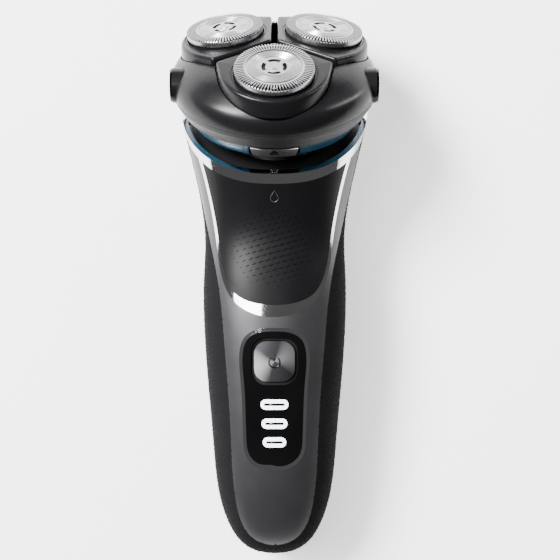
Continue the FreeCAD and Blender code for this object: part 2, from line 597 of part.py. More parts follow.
def build_cover():
    shoulder = Part.BSplineCurve()
    profile = ((31.2, -15.5), (31.45, -13.2), (31.1, -11.2), (30.3, -9.7), (28.5, -8.0), (26.0, -6.2),
               (23.0, -4.8), (20.0, -3.9))
    shoulder.interpolate([Vector(r, 0, z) for r, z in profile])
    inner = [Vector(20.0, 0, -3.9), Vector(0, 0, -3.2), Vector(0, 0, COVER_UNDERSIDE),
             Vector(29.4, 0, COVER_UNDERSIDE), Vector(29.4, 0, COVER_SPLIT), Vector(31.2, 0, COVER_SPLIT)]
    wire = Part.Wire([shoulder.toShape()] + Part.makePolygon(inner).Edges)
    cover = Part.Face(wire).revolve(Vector(0, 0, 0), Vector(0, 0, 1), 360)
    for side in (-1, 1):
        cover = cover.fuse(badge_rod(BADGE_RADIUS + 0.3, 27.0, BADGE_SEAT, side))
        cover = cover.cut(badge_rod(BADGE_RADIUS + 0.05, BADGE_SEAT, 34, side))
    cover = cover.cut(up(29.4, -20, COVER_UNDERSIDE))
    knuckle = rod(1.4, Vector(-5, HINGE_Y, HINGE_Z), Vector(5, HINGE_Y, HINGE_Z))
    web = box(-5, 5, 29.6, HINGE_Y, HINGE_Z + 0.1, HINGE_Z + 1.4)
    cover = cover.fuse(web).fuse(knuckle)
    cover = cover.cut(rod(0.8, Vector(-9, HINGE_Y, HINGE_Z), Vector(9, HINGE_Y, HINGE_Z)))
    for angle in HEAD_ANGLES:
        cover = cover.cut(at_unit(petal_room(), angle, 0))
        cover = cover.cut(at_unit(up(12.4, -14, -10, -1.2), angle, 0))
        groove = box(0, PETAL_CORNER, -PETAL_GAP, PETAL_GAP, GROOVE_FLOOR, 0)
        groove.rotate(Vector(0, 0, 0), Vector(0, 0, 1), angle + 60)
        cover = cover.cut(groove)
    parts["head_cover"] = in_head(cover)
    for side, name in ((-1, "left"), (1, "right")):
        badge = badge_rod(BADGE_RADIUS, BADGE_SEAT, BADGE_SEAT + 0.7, side)
        parts["side_badge_" + name] = in_head(badge)


def build_units():
    blank = Part.Face(petal_wire(PETAL_BOTTOM)).extrude(Vector(0, 0, 0.6 - PETAL_BOTTOM))
    guard_profile = ((0, 0), (11.35, 0), (GUARD_RADIUS, -0.4), (GUARD_RADIUS, -2.0),
                     (GUARD_SKIRT_RADIUS, -2.0), (GUARD_SKIRT_RADIUS, -6.0), (12.6, -6.0), (12.6, -6.4),
                     (10.9, -6.4), (10.9, -0.5), (1.0, -0.5), (1.0, -1.8), (0, -1.8))
    guard = revolve(guard_profile)
    cutter = up(10.3, -3.4, -2.4).fuse(up(3.3, -7.4, -3.4)).fuse(ring(2.3, 1.1, -2.4, -1.0))
    for k in range(9):
        blade = box(8.7, 10.2, -0.35, 0.35, -2.4, -0.6)
        blade.rotate(Vector(0, 0, 0), Vector(0, 0, 1), 40 * k)
        cutter = cutter.fuse(blade)
    cutter = cutter.cut(box(-1.9, 1.9, -1.9, 1.9, -8, -3.9))
    retainer = ring(12.85, 9.9, -7.9, -7.3)
    for name, angle in zip(HEAD_NAMES, HEAD_ANGLES):
        petal = at_unit(blank, angle, 0)
        petal = petal.cut(at_unit(box(-40, 40, -40, 40, PETAL_TOP, 30), angle))
        petal = petal.cut(at_unit(up(PETAL_BORE, -20, 10), angle))
        petal = petal.cut(at_unit(up(12.9, -20, -5.9), angle))
        parts["petal_" + name] = in_head(petal)
        parts["guard_" + name] = in_head(at_unit(guard, angle))
        parts["cutter_" + name] = in_head(at_unit(cutter, angle))
        parts["retainer_" + name] = in_head(at_unit(retainer, angle))


# ---------------------------------------------------------------- pop-up trimmer on the back
def build_trimmer():
    pin_y, pin_z = TRIMMER_PIN
    left, right = -TRIMMER_HALF, TRIMMER_HALF
    door = box(left, right, pin_y, TRIMMER_END - 1.4, 0.5, 4.1)
    door = door.cut(box(left + 1.2, right - 1.2, pin_y + 2.4, TRIMMER_END - 7, 1.7, 5))
    door = door.fuse(rod(1.6, Vector(left, pin_y, 2.2), Vector(right, pin_y, 2.2)))
    door = door.cut(rod(0.85, Vector(-20, pin_y, pin_z), Vector(20, pin_y, pin_z)))
    blade_room = box(left + 1.4, right - 1.4, TRIMMER_END - 6, TRIMMER_END, 1.9, 3.6)
    parts["trimmer_housing"] = door.cut(blade_room)
    comb = box(left + 1.5, right - 1.5, TRIMMER_END - 5.9, TRIMMER_END - 1.2, 1.9, 2.5)
    blade = box(left + 2.8, right - 2.8, TRIMMER_END - 5.4, TRIMMER_END - 1.5, 2.6, 3.2)
    for k in range(17):
        x = (k - 8) * 1.1
        comb = comb.fuse(box(x - 0.3, x + 0.3, TRIMMER_END - 1.2, TRIMMER_END, 1.9, 2.5))
    for k in range(13):
        x = (k - 6) * 1.1
        blade = blade.fuse(box(x - 0.3, x + 0.3, TRIMMER_END - 1.5, TRIMMER_END - 0.3, 2.6, 3.2))
    parts["trimmer_comb"] = comb
    parts["trimmer_blade"] = blade
    reach = TRIMMER_HALF + 1.25
    parts["trimmer_pin"] = rod(0.8, Vector(-reach, pin_y, pin_z), Vector(reach, pin_y, pin_z))
    start, end = SLIDE_Y
    slide = box(-4.9, 4.9, start, end, 0.35, 1.4).fuse(box(-2.2, 2.2, start + 2, end - 2, 1.4, 3.6))
    slide = slide.fuse(box(-3.6, 3.6, start + 1.7, end - 1.7, 3.3, 4.3))
    for k in range(4):
        y = start + 1.4 + 1.4 * k
        slide = slide.cut(box(-4.0, 4.0, y, y + 0.6, 0, 0.75))
    parts["trimmer_slide"] = slide


def main():
    build_handle()
    build_inside()
    build_motor()
    build_neck()
    build_head_base()
    build_drive()
    build_cover()
    build_units()
    build_trimmer()
    outline = [v.y for name in ("rear_housing", "guard_left") for v in parts[name].tessellate(0.02)[0]]
    shift = -(min(outline) + max(outline)) / 2
    print("shift along Y:", shift)
    for name, shape in parts.items():
        shape.translate(Vector(0, shift, 0))
        shape.exportStep("parts/" + name + ".step")


main()
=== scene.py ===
"""Looks of the rotary electric shaver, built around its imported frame. Metres, in the frame's own axes."""
import bmesh
import bpy
import json
import math
import random
from mathutils import Matrix, Vector
from mathutils.bvhtree import BVHTree


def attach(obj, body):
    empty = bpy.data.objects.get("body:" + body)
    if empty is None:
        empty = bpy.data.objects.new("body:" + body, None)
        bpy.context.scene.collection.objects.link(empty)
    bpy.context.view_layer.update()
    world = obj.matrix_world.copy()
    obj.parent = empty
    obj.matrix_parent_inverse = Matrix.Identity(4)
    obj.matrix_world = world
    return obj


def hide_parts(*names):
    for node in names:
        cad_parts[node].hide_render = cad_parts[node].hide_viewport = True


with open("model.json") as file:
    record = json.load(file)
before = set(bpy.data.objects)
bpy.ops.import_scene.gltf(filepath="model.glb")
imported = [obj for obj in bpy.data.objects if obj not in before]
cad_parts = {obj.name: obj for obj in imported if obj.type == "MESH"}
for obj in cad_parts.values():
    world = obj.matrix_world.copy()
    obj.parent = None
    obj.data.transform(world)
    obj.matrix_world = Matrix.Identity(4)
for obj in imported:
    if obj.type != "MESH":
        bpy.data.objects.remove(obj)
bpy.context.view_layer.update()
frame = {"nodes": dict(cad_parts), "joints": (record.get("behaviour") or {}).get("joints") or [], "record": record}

MM = 0.001
NODES = frame["nodes"]
JOINTS = {joint["name"]: joint for joint in frame["joints"]}
HEAD_NAMES = ("front", "right", "left")
HEAD_ANGLES = (-90.0, 30.0, 150.0)
HEAD_SPREAD = 17.66             # head axis to each shaving head's axis, mm
HEAD_CANT = math.radians(8.0)
PIVOT_DEPTH = 27.0              # neck pivot below the shaving plane, mm

# The shaving unit's own axes: x across, y to its rear, z out of its top.
HEAD_UP = Vector(JOINTS["central_gear_spin"]["axis"]).normalized()
HEAD_REAR = Vector(JOINTS["head_roll"]["axis"]).normalized()
HEAD_CENTRE = Vector(JOINTS["head_pitch"]["pos_m"]) + HEAD_UP * PIVOT_DEPTH * MM
ALONG_SHIFT = JOINTS["trimmer_swing"]["pos_m"][1] - 17.0 * MM


# ---------------------------------------------------------------- frames
def head_matrix():
    axes = Matrix((Vector((1, 0, 0)), HEAD_REAR, HEAD_UP)).transposed()
    return Matrix.Translation(HEAD_CENTRE) @ axes.to_4x4() @ Matrix.Scale(MM, 4)


def unit_matrix(angle, cant=HEAD_CANT):
    """Axes of one shaving head, in millimetres: x outwards, z out of its guard."""
    turn = math.radians(angle)
    spot = Vector((HEAD_SPREAD * math.cos(turn), HEAD_SPREAD * math.sin(turn), 0))
    spin = Matrix.Rotation(turn, 4, "Z") @ Matrix.Rotation(cant, 4, "Y")
    return head_matrix() @ Matrix.Translation(spot) @ spin


def row(x, y, z):
    """A point given in the handle's design millimetres."""
    return Vector((x * MM, y * MM + ALONG_SHIFT, z * MM))


# ---------------------------------------------------------------- mesh helpers
def make_piece(name, mesh_data, body, material, smooth=True, replaces=()):
    piece = bpy.data.objects.new(name, mesh_data)
    bpy.context.scene.collection.objects.link(piece)
    piece.data.materials.append(material)
    for polygon in piece.data.polygons:
        polygon.use_smooth = smooth
    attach(piece, body)
    if replaces:
        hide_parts(*replaces)
    return piece


def mesh_from(name, points, faces, matrix=None, merge=0.0):
    mesh = bpy.data.meshes.new(name)
    mesh.from_pydata([tuple(p) for p in points], [], faces)
    work = bmesh.new()
    work.from_mesh(mesh)
    if merge:
        bmesh.ops.remove_doubles(work, verts=work.verts, dist=merge)
    bmesh.ops.recalc_face_normals(work, faces=work.faces)
    work.to_mesh(mesh)
    work.free()
    if matrix is not None:
        mesh.transform(matrix)
    mesh.update()
    return mesh


def loft(rings, closed_ring=True, cap_start=False, cap_end=False, first=0):
    """Points and quads through equal-length rings of points."""
    points = [p for ring in rings for p in ring]
    count = len(rings[0])
    faces = []
    for i in range(len(rings) - 1):
        for j in range(count if closed_ring else count - 1):
            k = (j + 1) % count
            a, b = first + i * count, first + (i + 1) * count
            faces.append((a + j, a + k, b + k, b + j))
    if cap_start:
        faces.append(tuple(first + j for j in reversed(range(count))))
    if cap_end:
        last = first + (len(rings) - 1) * count
        faces.append(tuple(last + j for j in range(count)))
    return points, faces


def lathe(profile, steps, closed=True):
    """Points and faces of a profile of (radius, z) turned about Z."""
    rings = []
    for radius, z in profile:
        ring = []
        for i in range(steps):
            turn = 2 * math.pi * i / steps
            ring.append(Vector((radius * math.cos(turn), radius * math.sin(turn), z)))
        rings.append(ring)
    if closed:
        rings.append(rings[0])
    return loft(rings)


def join(*solids):
    points, faces = [], []
    for more_points, more_faces in solids:
        start = len(points)
        points += more_points
        faces += [tuple(start + i for i in face) for face in more_faces]
    return points, faces


def auto_smooth(piece, degrees=35):
    """Round shading except across edges sharper than the given angle."""
    piece.data.set_sharp_from_angle(angle=math.radians(degrees))


# ---------------------------------------------------------------- materials
def principled(name, color, roughness, metallic=0.0, **inputs):
    material = bpy.data.materials.new(name)
    material.use_nodes = True
    shader = material.node_tree.nodes["Principled BSDF"]
    shader.inputs["Base Color"].default_value = (*color, 1)
    shader.inputs["Roughness"].default_value = roughness
    shader.inputs["Metallic"].default_value = metallic
    for label, value in inputs.items():
        shader.inputs[label.replace("_", " ")].default_value = value
    return material, shader


def add_node(material, kind, **settings):
    node = material.node_tree.nodes.new(kind)
    for label, value in settings.items():
        if label in node.inputs:
            node.inputs[label].default_value = value
        else:
            setattr(node, label, value)
    return node


def link(material, source, target):
    material.node_tree.links.new(source, target)


def vary_roughness(material, shader, low, high, scale, coords):
    noise = add_node(material, "ShaderNodeTexNoise", Scale=scale, Detail=5.0)
    spread = add_node(material, "ShaderNodeMapRange")
    spread.inputs["To Min"].default_value = low
    spread.inputs["To Max"].default_value = high
    link(material, coords, noise.inputs["Vector"])
    link(material, noise.outputs["Fac"], spread.inputs["Value"])
    link(material, spread.outputs["Result"], shader.inputs["Roughness"])
    return noise


def vary_color(material, shader, color, other, scale, coords):
    noise = add_node(material, "ShaderNodeTexNoise", Scale=scale, Detail=3.0)
    mix = add_node(material, "ShaderNodeMix", data_type="RGBA")
    mix.inputs["A"].default_value = (*color, 1)
    mix.inputs["B"].default_value = (*other, 1)
    link(material, coords, noise.inputs["Vector"])
    link(material, noise.outputs["Fac"], mix.inputs["Factor"])
    link(material, mix.outputs["Result"], shader.inputs["Base Color"])


def add_bump(material, shader, height, strength, distance):
    bump = add_node(material, "ShaderNodeBump", Strength=strength, Distance=distance)
    link(material, height, bump.inputs["Height"])
    link(material, bump.outputs["Normal"], shader.inputs["Normal"])


def object_coords(material):
    return add_node(material, "ShaderNodeTexCoord").outputs["Object"]


def plastic(name, color, roughness, grain=2600.0, grain_depth=0.00003, strength=0.25, **inputs):
    """Moulded plastic: fine spark-erosion grain and slightly uneven gloss."""
    material, shader = principled(name, color, roughness, **inputs)
    coords = object_coords(material)
    lighter = tuple(min(1.0, c * 1.35 + 0.002) for c in color)
    vary_color(material, shader, color, lighter, 60.0, coords)
    vary_roughness(material, shader, roughness * 0.88, min(1.0, roughness * 1.14), 180.0, coords)
    fine = add_node(material, "ShaderNodeTexNoise", Scale=grain, Detail=2.0)
    link(material, coords, fine.inputs["Vector"])
    add_bump(material, shader, fine.outputs["Fac"], strength, grain_depth)
    return material


def metal(name, color, roughness, brush=(40.0, 3000.0, 40.0), strength=0.12, **inputs):
    """Metal brushed along the axes where the brush scale is low."""
    material, shader = principled(name, color, roughness, metallic=1.0, **inputs)
    coords = object_coords(material)
    stretch = add_node(material, "ShaderNodeMapping")
    stretch.inputs["Scale"].default_value = brush
    link(material, coords, stretch.inputs["Vector"])
    noise = add_node(material, "ShaderNodeTexNoise", Scale=1.0, Detail=3.0)
    link(material, stretch.outputs["Vector"], noise.inputs["Vector"])
    spread = add_node(material, "ShaderNodeMapRange")
    spread.inputs["To Min"].default_value = roughness * 0.8
    spread.inputs["To Max"].default_value = roughness * 1.25
    link(material, noise.outputs["Fac"], spread.inputs["Value"])
    link(material, spread.outputs["Result"], shader.inputs["Roughness"])
    add_bump(material, shader, noise.outputs["Fac"], strength, 0.00002)
    return material


def spun_disc_painted_streaks(name, centre, bright, dark):
    """Turned metal: two pairs of painted highlight streaks about a centre, painted into the colour as the
    reflection spun metal shows, over fine circular lines.
    """
    material, shader = principled(name, bright, 0.3, metallic=1.0)
    shift = add_node(material, "ShaderNodeMapping")
    shift.inputs["Location"].default_value = (-centre[0], -centre[1], 0)
    link(material, object_coords(material), shift.inputs["Vector"])
    sweep = add_node(material, "ShaderNodeTexGradient", gradient_type="RADIAL")
    link(material, shift.outputs["Vector"], sweep.inputs["Vector"])
    turns = add_node(material, "ShaderNodeMath", operation="MULTIPLY_ADD")
    turns.inputs[1].default_value = 4 * math.pi
    turns.inputs[2].default_value = 0.9
    wave = add_node(material, "ShaderNodeMath", operation="SINE")
    spread = add_node(material, "ShaderNodeMapRange")
    spread.inputs["From Min"].default_value = -0.4
    # The base colour swings between painted highlight and painted dark streaks round the centre.
    mix = add_node(material, "ShaderNodeMix", data_type="RGBA")
    mix.inputs["A"].default_value = (*dark, 1)
    mix.inputs["B"].default_value = (*bright, 1)
    link(material, sweep.outputs["Fac"], turns.inputs[0])
    link(material, turns.outputs["Value"], wave.inputs[0])
    link(material, wave.outputs["Value"], spread.inputs["Value"])
    link(material, spread.outputs["Result"], mix.inputs["Factor"])
    link(material, mix.outputs["Result"], shader.inputs["Base Color"])
    rings = add_node(material, "ShaderNodeTexWave", wave_type="RINGS", rings_direction="Z", Scale=1500.0)
    link(material, shift.outputs["Vector"], rings.inputs["Vector"])
    add_bump(material, shader, rings.outputs["Fac"], 0.15, 0.00001)
    return material


BUTTON_Y = -24.0
BUTTON_CENTRE = row(0, BUTTON_Y, 0)

MATERIALS = {
    "rubber_shell": plastic("rubber_shell", (0.0055, 0.0055, 0.006), 0.6, 1500.0, 0.00004, 0.3,
                            Specular_IOR_Level=0.06, IOR=1.2),
    "gunmetal": plastic("gunmetal", (0.052, 0.052, 0.055), 0.38, 5200.0, 0.00001, 0.12, Metallic=0.8),
    "grip_black": plastic("grip_black", (0.002, 0.002, 0.0024), 0.40, 3200.0, 0.00002, 0.15,
                          Specular_IOR_Level=0.12),
    "inlay_black": plastic("inlay_black", (0.001, 0.001, 0.0012), 0.08, 900.0, 0.000004, 0.04,
                           Specular_IOR_Level=0.25),
    "chrome_trim": metal("chrome_trim", (0.80, 0.80, 0.82), 0.08, (60.0, 60.0, 60.0), 0.02),
    # The power button's spun metal, with painted highlight streaks in its colour.
    "spun_metal": spun_disc_painted_streaks("spun_metal", BUTTON_CENTRE, (0.62, 0.62, 0.63), (0.10, 0.10, 0.11)),
    "head_black": plastic("head_black", (0.004, 0.004, 0.0045), 0.27, 3600.0, 0.000015, 0.14, IOR=1.25),
    "base_black": plastic("base_black", (0.003, 0.003, 0.0035), 0.42, 3000.0, 0.00002, 0.2,
                          Specular_IOR_Level=0.2),
    "ring_blue": plastic("ring_blue", (0.007, 0.040, 0.068), 0.3, 1800.0, 0.00001, 0.1,
                         Specular_IOR_Level=0.2),
    "button_grey": metal("button_grey", (0.09, 0.09, 0.095), 0.34, (3000.0, 60.0, 60.0), 0.1),
    "guard_steel": metal("guard_steel", (0.36, 0.36, 0.37), 0.28, (900.0, 900.0, 900.0), 0.06),
    "steel": metal("steel", (0.56, 0.56, 0.58), 0.25, (200.0, 2600.0, 200.0), 0.1),
    "gear_white": plastic("gear_white", (0.70, 0.70, 0.67), 0.45),
    "frame_plastic": plastic("frame_plastic", (0.05, 0.05, 0.055), 0.5, Specular_IOR_Level=0.3),
    "cell_wrap": plastic("cell_wrap", (0.02, 0.12, 0.07), 0.3),
    "tab_nickel": metal("tab_nickel", (0.62, 0.60, 0.55), 0.3),
    "board_green": plastic("board_green", (0.01, 0.09, 0.035), 0.35),
    "seal_rubber": plastic("seal_rubber", (0.002, 0.002, 0.002), 0.6, 1500.0, Specular_IOR_Level=0.2),
    "magnet": plastic("magnet", (0.06, 0.06, 0.06), 0.6),
    "brass_pin": metal("brass_pin", (0.72, 0.52, 0.22), 0.22),
}


def light_material():
    material, shader = principled("light_white", (0.9, 0.93, 1.0), 0.3)
    shader.inputs["Emission Color"].default_value = (0.93, 0.96, 1.0, 1)
    shader.inputs["Emission Strength"].default_value = 2.6
    noise = vary_roughness(material, shader, 0.25, 0.4, 300.0, object_coords(material))
    add_bump(material, shader, noise.outputs["Fac"], 0.05, 0.00001)
    return material


MATERIALS["light_white"] = light_material()
SLOT_OF = {sub["node"]: sub["material_slot"] for sub in frame["record"]["subparts"]}


def dress_frame():
    """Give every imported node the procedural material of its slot."""
    for name, node in NODES.items():
        node.data.materials.clear()
        node.data.materials.append(MATERIALS[SLOT_OF[name]])
        for polygon in node.data.polygons:
            polygon.use_smooth = True
        auto_smooth(node, 28)


# ---------------------------------------------------------------- shaving guards
SLOT_COUNT = 78


def slot_bars():
    """The slotted track: narrow bars that run outwards and bend down the rim."""
    path = ((8.75, -0.02), (10.0, 0.0), (11.15, -0.03), (11.55, -0.14), (11.72, -0.34), (11.74, -0.75))
    inner = ((8.75, -0.34), (10.0, -0.34), (11.0, -0.36), (11.25, -0.44), (11.38, -0.6), (11.4, -0.75))
    half = 0.19 * 2 * math.pi / SLOT_COUNT
    solids = []
    for k in range(SLOT_COUNT):
        turn = 2 * math.pi * k / SLOT_COUNT
        rings = []
        for (r, z), (r_in, z_in) in zip(path, inner):
            corners = ((r, -half, z), (r, half, z), (r_in, half, z_in), (r_in, -half, z_in))
            rings.append([Vector((q * math.cos(turn + a), q * math.sin(turn + a), w)) for q, a, w in corners])
        solids.append(loft(rings, True, True, True))
    return join(*solids)


def groove_profile(start, end, count, top, depth):
    """Top of a finely turned band: count shallow grooves between two radii."""
    step = (end - start) / count
    profile = []
    for i in range(count):
        radius = start + i * step
        profile += [(radius, top - depth), (radius + 0.35 * step, top), (radius + 0.8 * step, top)]
    return profile + [(end, top - depth)]


def guard_top():
    band = groove_profile(4.9, 7.9, 7, -0.03, 0.14)
    outer = [(7.95, -0.3), (8.25, -0.34), (8.35, -0.1), (8.55, -0.02), (8.85, -0.02), (8.85, -0.4)]
    return lathe(band + outer + [(4.9, -0.5)], 96)


def guard_rim():
    profile = ((11.72, -0.66), (11.74, -0.75), (11.74, -1.9), (11.5, -2.1), (11.25, -1.9), (11.3, -0.66))
    return lathe(profile, 120)


def centre_plate():
    """Bright centre disc with four dark arc-shaped openings and a rounded square boss."""
    solids = [lathe(((0.01, -0.16), (2.55, -0.16), (2.6, -0.22), (2.6, -0.45), (0.01, -0.45)), 64)]
    solids.append(lathe(((3.75, -0.42), (3.75, -0.12), (4.6, -0.1), (4.88, -0.16), (4.88, -0.42)), 64))
    for k in range(4):
        solids.append(arc_plate(2.5, 3.85, k * 90 + 33, k * 90 + 57, -0.42, -0.14))
    boss = rounded_loop([(-1.25, -1.25), (1.25, -1.25), (1.25, 1.25), (-1.25, 1.25)], [0.6] * 4, 6)
    low = [Vector((x, y, -0.18)) for x, y in boss]
    high = [Vector((x * 0.9, y * 0.9, 0.0)) for x, y in boss]
    solids.append(loft([low, high], True, False, True))
    hollow = [Vector((x * 0.55, y * 0.55, 0.005)) for x, y in boss]
    raised = [p + Vector((0, 0, 0.01)) for p in hollow]
    solids.append(loft([hollow, raised], True, True, True))
    return join(*solids)


def arc_plate(inner, outer, start, end, low, high):
    rings = []
    profile = ((inner, low), (outer, low), (outer, high), (inner, high))
    for i in range(7):
        turn = math.radians(start + (end - start) * i / 6)
        c, s = math.cos(turn), math.sin(turn)
        rings.append([Vector((r * c, r * s, z)) for r, z in profile])
    return loft(rings, True, True, True)


def rounded_loop(corners, radii, steps):
    """Closed outline of a convex polygon with each corner rounded by its radius."""
    loop = []
    count = len(corners)
    for i, (x, y) in enumerate(corners):
        corner = Vector((x, y))
        before = (Vector(corners[i - 1]) - corner).normalized()
        after = (Vector(corners[(i + 1) % count]) - corner).normalized()
        half = before.angle(after) / 2
        centre = corner + (before + after).normalized() * (radii[i] / math.sin(half))
        start = corner + before * (radii[i] / math.tan(half)) - centre
        sweep = math.pi - 2 * half
        for j in range(steps + 1):
            turn = Matrix.Rotation(sweep * j / steps, 2)
            loop.append(tuple(centre + turn @ start))
    return loop


def build_guards():
    for name, angle in zip(HEAD_NAMES, HEAD_ANGLES):
        body = "shield_" + name
        matrix = unit_matrix(angle)
        solids = join(guard_top(), guard_rim(), slot_bars(), centre_plate())
        mesh = mesh_from("guard_mesh", *solids, matrix)
        guard = make_piece("guard_plate_" + name, mesh, body, MATERIALS["guard_steel"],
                           replaces=("guard_" + name,))
        auto_smooth(guard, 30)
        # Black collar under each guard; its flat top from 8.6 to 11.2 mm sits under the slots as a dark sheet of
        # painted shade.
        collar_and_slot_shade_profile = lathe(((8.6, -1.0), (11.2, -1.0), (11.2, -1.9), (11.48, -2.05), (11.48, -6.0),
                       (12.5, -6.05), (12.5, -6.35), (10.95, -6.35), (10.9, -1.6), (8.6, -1.6)), 96)
        collar_with_shade = make_piece("guard_collar_and_painted_shade_" + name, mesh_from("collar_painted_shade_mesh", *collar_and_slot_shade_profile, matrix), body,
                            MATERIALS["base_black"])
        auto_smooth(collar_with_shade, 30)
        # Dark disc under the centre plate's openings: painted shade, standing in for the shadow inside the head.
        shade = lathe(((0.01, -0.62), (4.8, -0.62), (4.8, -0.78), (0.01, -0.78)), 48)
        make_piece("guard_painted_shade_" + name, mesh_from("painted_shade_disc_mesh", *shade, matrix), body,
                   MATERIALS["base_black"])


# ---------------------------------------------------------------- petals
PETAL_RADIUS = 16.5
PETAL_ARC_SHIFT = 3.6           # from each guard's axis in to the middle of its petal's arc
PETAL_CORNER = 20.0             # from the head's axis to each petal's corners
PETAL_GAP = 0.75                # half the groove between two petals
PETAL_TOP = -2.6
PETAL_BOTTOM = -9.9
PETAL_BORE = 11.95
SIDE_STEPS = 30                 # points along a petal's straight sides, so that its bore stays round
NOSE_STEPS = 12


def petal_loop(inset, corner_steps=8, arc_steps=40):
    """Plan of a petal about its head's centre, shrunk by inset on every side."""
    apex_x = -HEAD_SPREAD + PETAL_GAP / math.sin(math.radians(60))
    corner = Vector((apex_x + PETAL_CORNER / 2, PETAL_CORNER * math.sin(math.radians(60))))
    from_middle = corner + Vector((PETAL_ARC_SHIFT, 0))
    touch = math.atan2(from_middle.y, from_middle.x) - math.acos(PETAL_RADIUS / from_middle.length)
    slope = math.radians(60)
    inner_direction = Vector((math.cos(slope), math.sin(slope)))
    outer_direction = Vector((-math.sin(touch), math.cos(touch)))
    apex = Vector((apex_x + inset / math.sin(slope), 0))
    radius = PETAL_RADIUS - inset
    tangent = Vector((radius * math.cos(touch) - PETAL_ARC_SHIFT, radius * math.sin(touch)))
    offset = tangent - apex
    turn = inner_direction.x * outer_direction.y - inner_direction.y * outer_direction.x
    reach = (offset.x * outer_direction.y - offset.y * outer_direction.x) / turn
    top = apex + inner_direction * reach
    small = max(1.3 - inset, 0.5)
    apex_part = corner_round(top, apex, Vector((top.x, -top.y)), small, corner_steps)
    arc = []
    for j in range(arc_steps + 1):
        bend = -touch + 2 * touch * j / arc_steps
        arc.append((radius * math.cos(bend) - PETAL_ARC_SHIFT, radius * math.sin(bend)))
    low = Vector((top.x, -top.y))
    low_part = corner_round(apex, low, Vector((tangent.x, -tangent.y)), small, corner_steps)
    high_part = corner_round(tangent, top, apex, small, corner_steps)
    low_side = between(apex_part[-1], low_part[0], SIDE_STEPS)
    high_side = between(high_part[-1], apex_part[0], SIDE_STEPS)
    nose_low = between(low_part[-1], arc[0], NOSE_STEPS)
    nose_high = between(arc[-1], high_part[0], NOSE_STEPS)
    return apex_part + low_side + low_part + nose_low + arc + nose_high + high_part + high_side


def between(start, end, steps):
    """Points along a straight line, without its ends."""
    ends = Vector(start), Vector(end)
    return [tuple(ends[0].lerp(ends[1], (i + 1) / (steps + 1))) for i in range(steps)]


def corner_round(before, corner, after, radius, steps):
    """Arc that rounds one corner of a convex outline."""
    back = (before - corner).normalized()
    ahead = (after - corner).normalized()
    half = back.angle(ahead) / 2
    centre = corner + (back + ahead).normalized() * (radius / math.sin(half))
    start = corner + back * (radius / math.tan(half)) - centre
    sweep = math.pi - 2 * half
    return [tuple(centre + Matrix.Rotation(sweep * j / steps, 2) @ start) for j in range(steps + 1)]


def petal_top(x):
    return (PETAL_TOP - x * math.sin(HEAD_CANT)) / math.cos(HEAD_CANT)


# Radius and height over the top face: a fine groove round the bore, then down its wall.
PETAL_COLLAR = ((12.7, -0.02), (12.6, -0.22), (12.45, -0.22), (12.35, -0.04), (PETAL_BORE, -0.05),
                (PETAL_BORE, -3.2))
# Inset of the outline and depth below the top face; None is the petal's underside.
PETAL_WALL = ((0.03, None), (0.05, 2.4), (0.1, 1.1), (0.2, 0.55), (0.4, 0.24), (0.65, 0.08), (1.0, 0.02))


def build_petals():
    for name, angle in zip(HEAD_NAMES, HEAD_ANGLES):
        rings = []
        for inset, depth in PETAL_WALL:
            ring = []
            for x, y in petal_loop(inset):
                z = PETAL_BOTTOM if depth is None else max(petal_top(x) - depth, PETAL_BOTTOM + 0.3)
                ring.append(Vector((x, y, z)))
            rings.append(ring)
        outer = petal_loop(PETAL_WALL[-1][0])
        tilt = Matrix.Rotation(HEAD_CANT, 3, "Y")
        for radius, lift in PETAL_COLLAR:
            ring = []
            for x, y in outer:
                turn = math.atan2(y, x)
                flat = Vector((radius * math.cos(turn), radius * math.sin(turn), PETAL_TOP + lift))
                ring.append(tilt @ flat)
            rings.append(ring)
        matrix = unit_matrix(angle, 0)
        mesh = mesh_from("petal_mesh", *loft(rings), matrix)
        petal = make_piece("petal_shell_" + name, mesh, "lobe_" + name, MATERIALS["head_black"],
                           replaces=("petal_" + name,))
        auto_smooth(petal, 40)


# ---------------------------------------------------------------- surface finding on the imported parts
def surface_of(node):
    mesh = NODES[node].data
    mesh.calc_loop_triangles()
    points = [v.co.copy() for v in mesh.vertices]
    return BVHTree.FromPolygons(points, [tuple(t.vertices) for t in mesh.loop_triangles])


def drop_on(tree, x, y):
    """The highest point of a surface over (x, y), and its normal there."""
    hit, normal, _, _ = tree.ray_cast(Vector((x, y, 0.2)), Vector((0, 0, -1)))
    if hit is None:
        return None, None
    return hit, normal if normal.z > 0 else -normal


def surface_axes(point, normal, along=Vector((0, 1, 0))):
    """Axes on a surface: x across, y along, z out of it, in millimetres."""
    side = along.cross(normal).normalized()
    ahead = normal.cross(side)
    axes = Matrix((side, ahead, normal)).transposed().to_4x4()
    return Matrix.Translation(point) @ axes @ Matrix.Scale(MM, 4)


# ---------------------------------------------------------------- raised grip pattern
GRIP_CENTRE = (0.0, 10.5)
GRIP_REACH = (14.5, 14.0)
GRIP_PITCH = 1.85


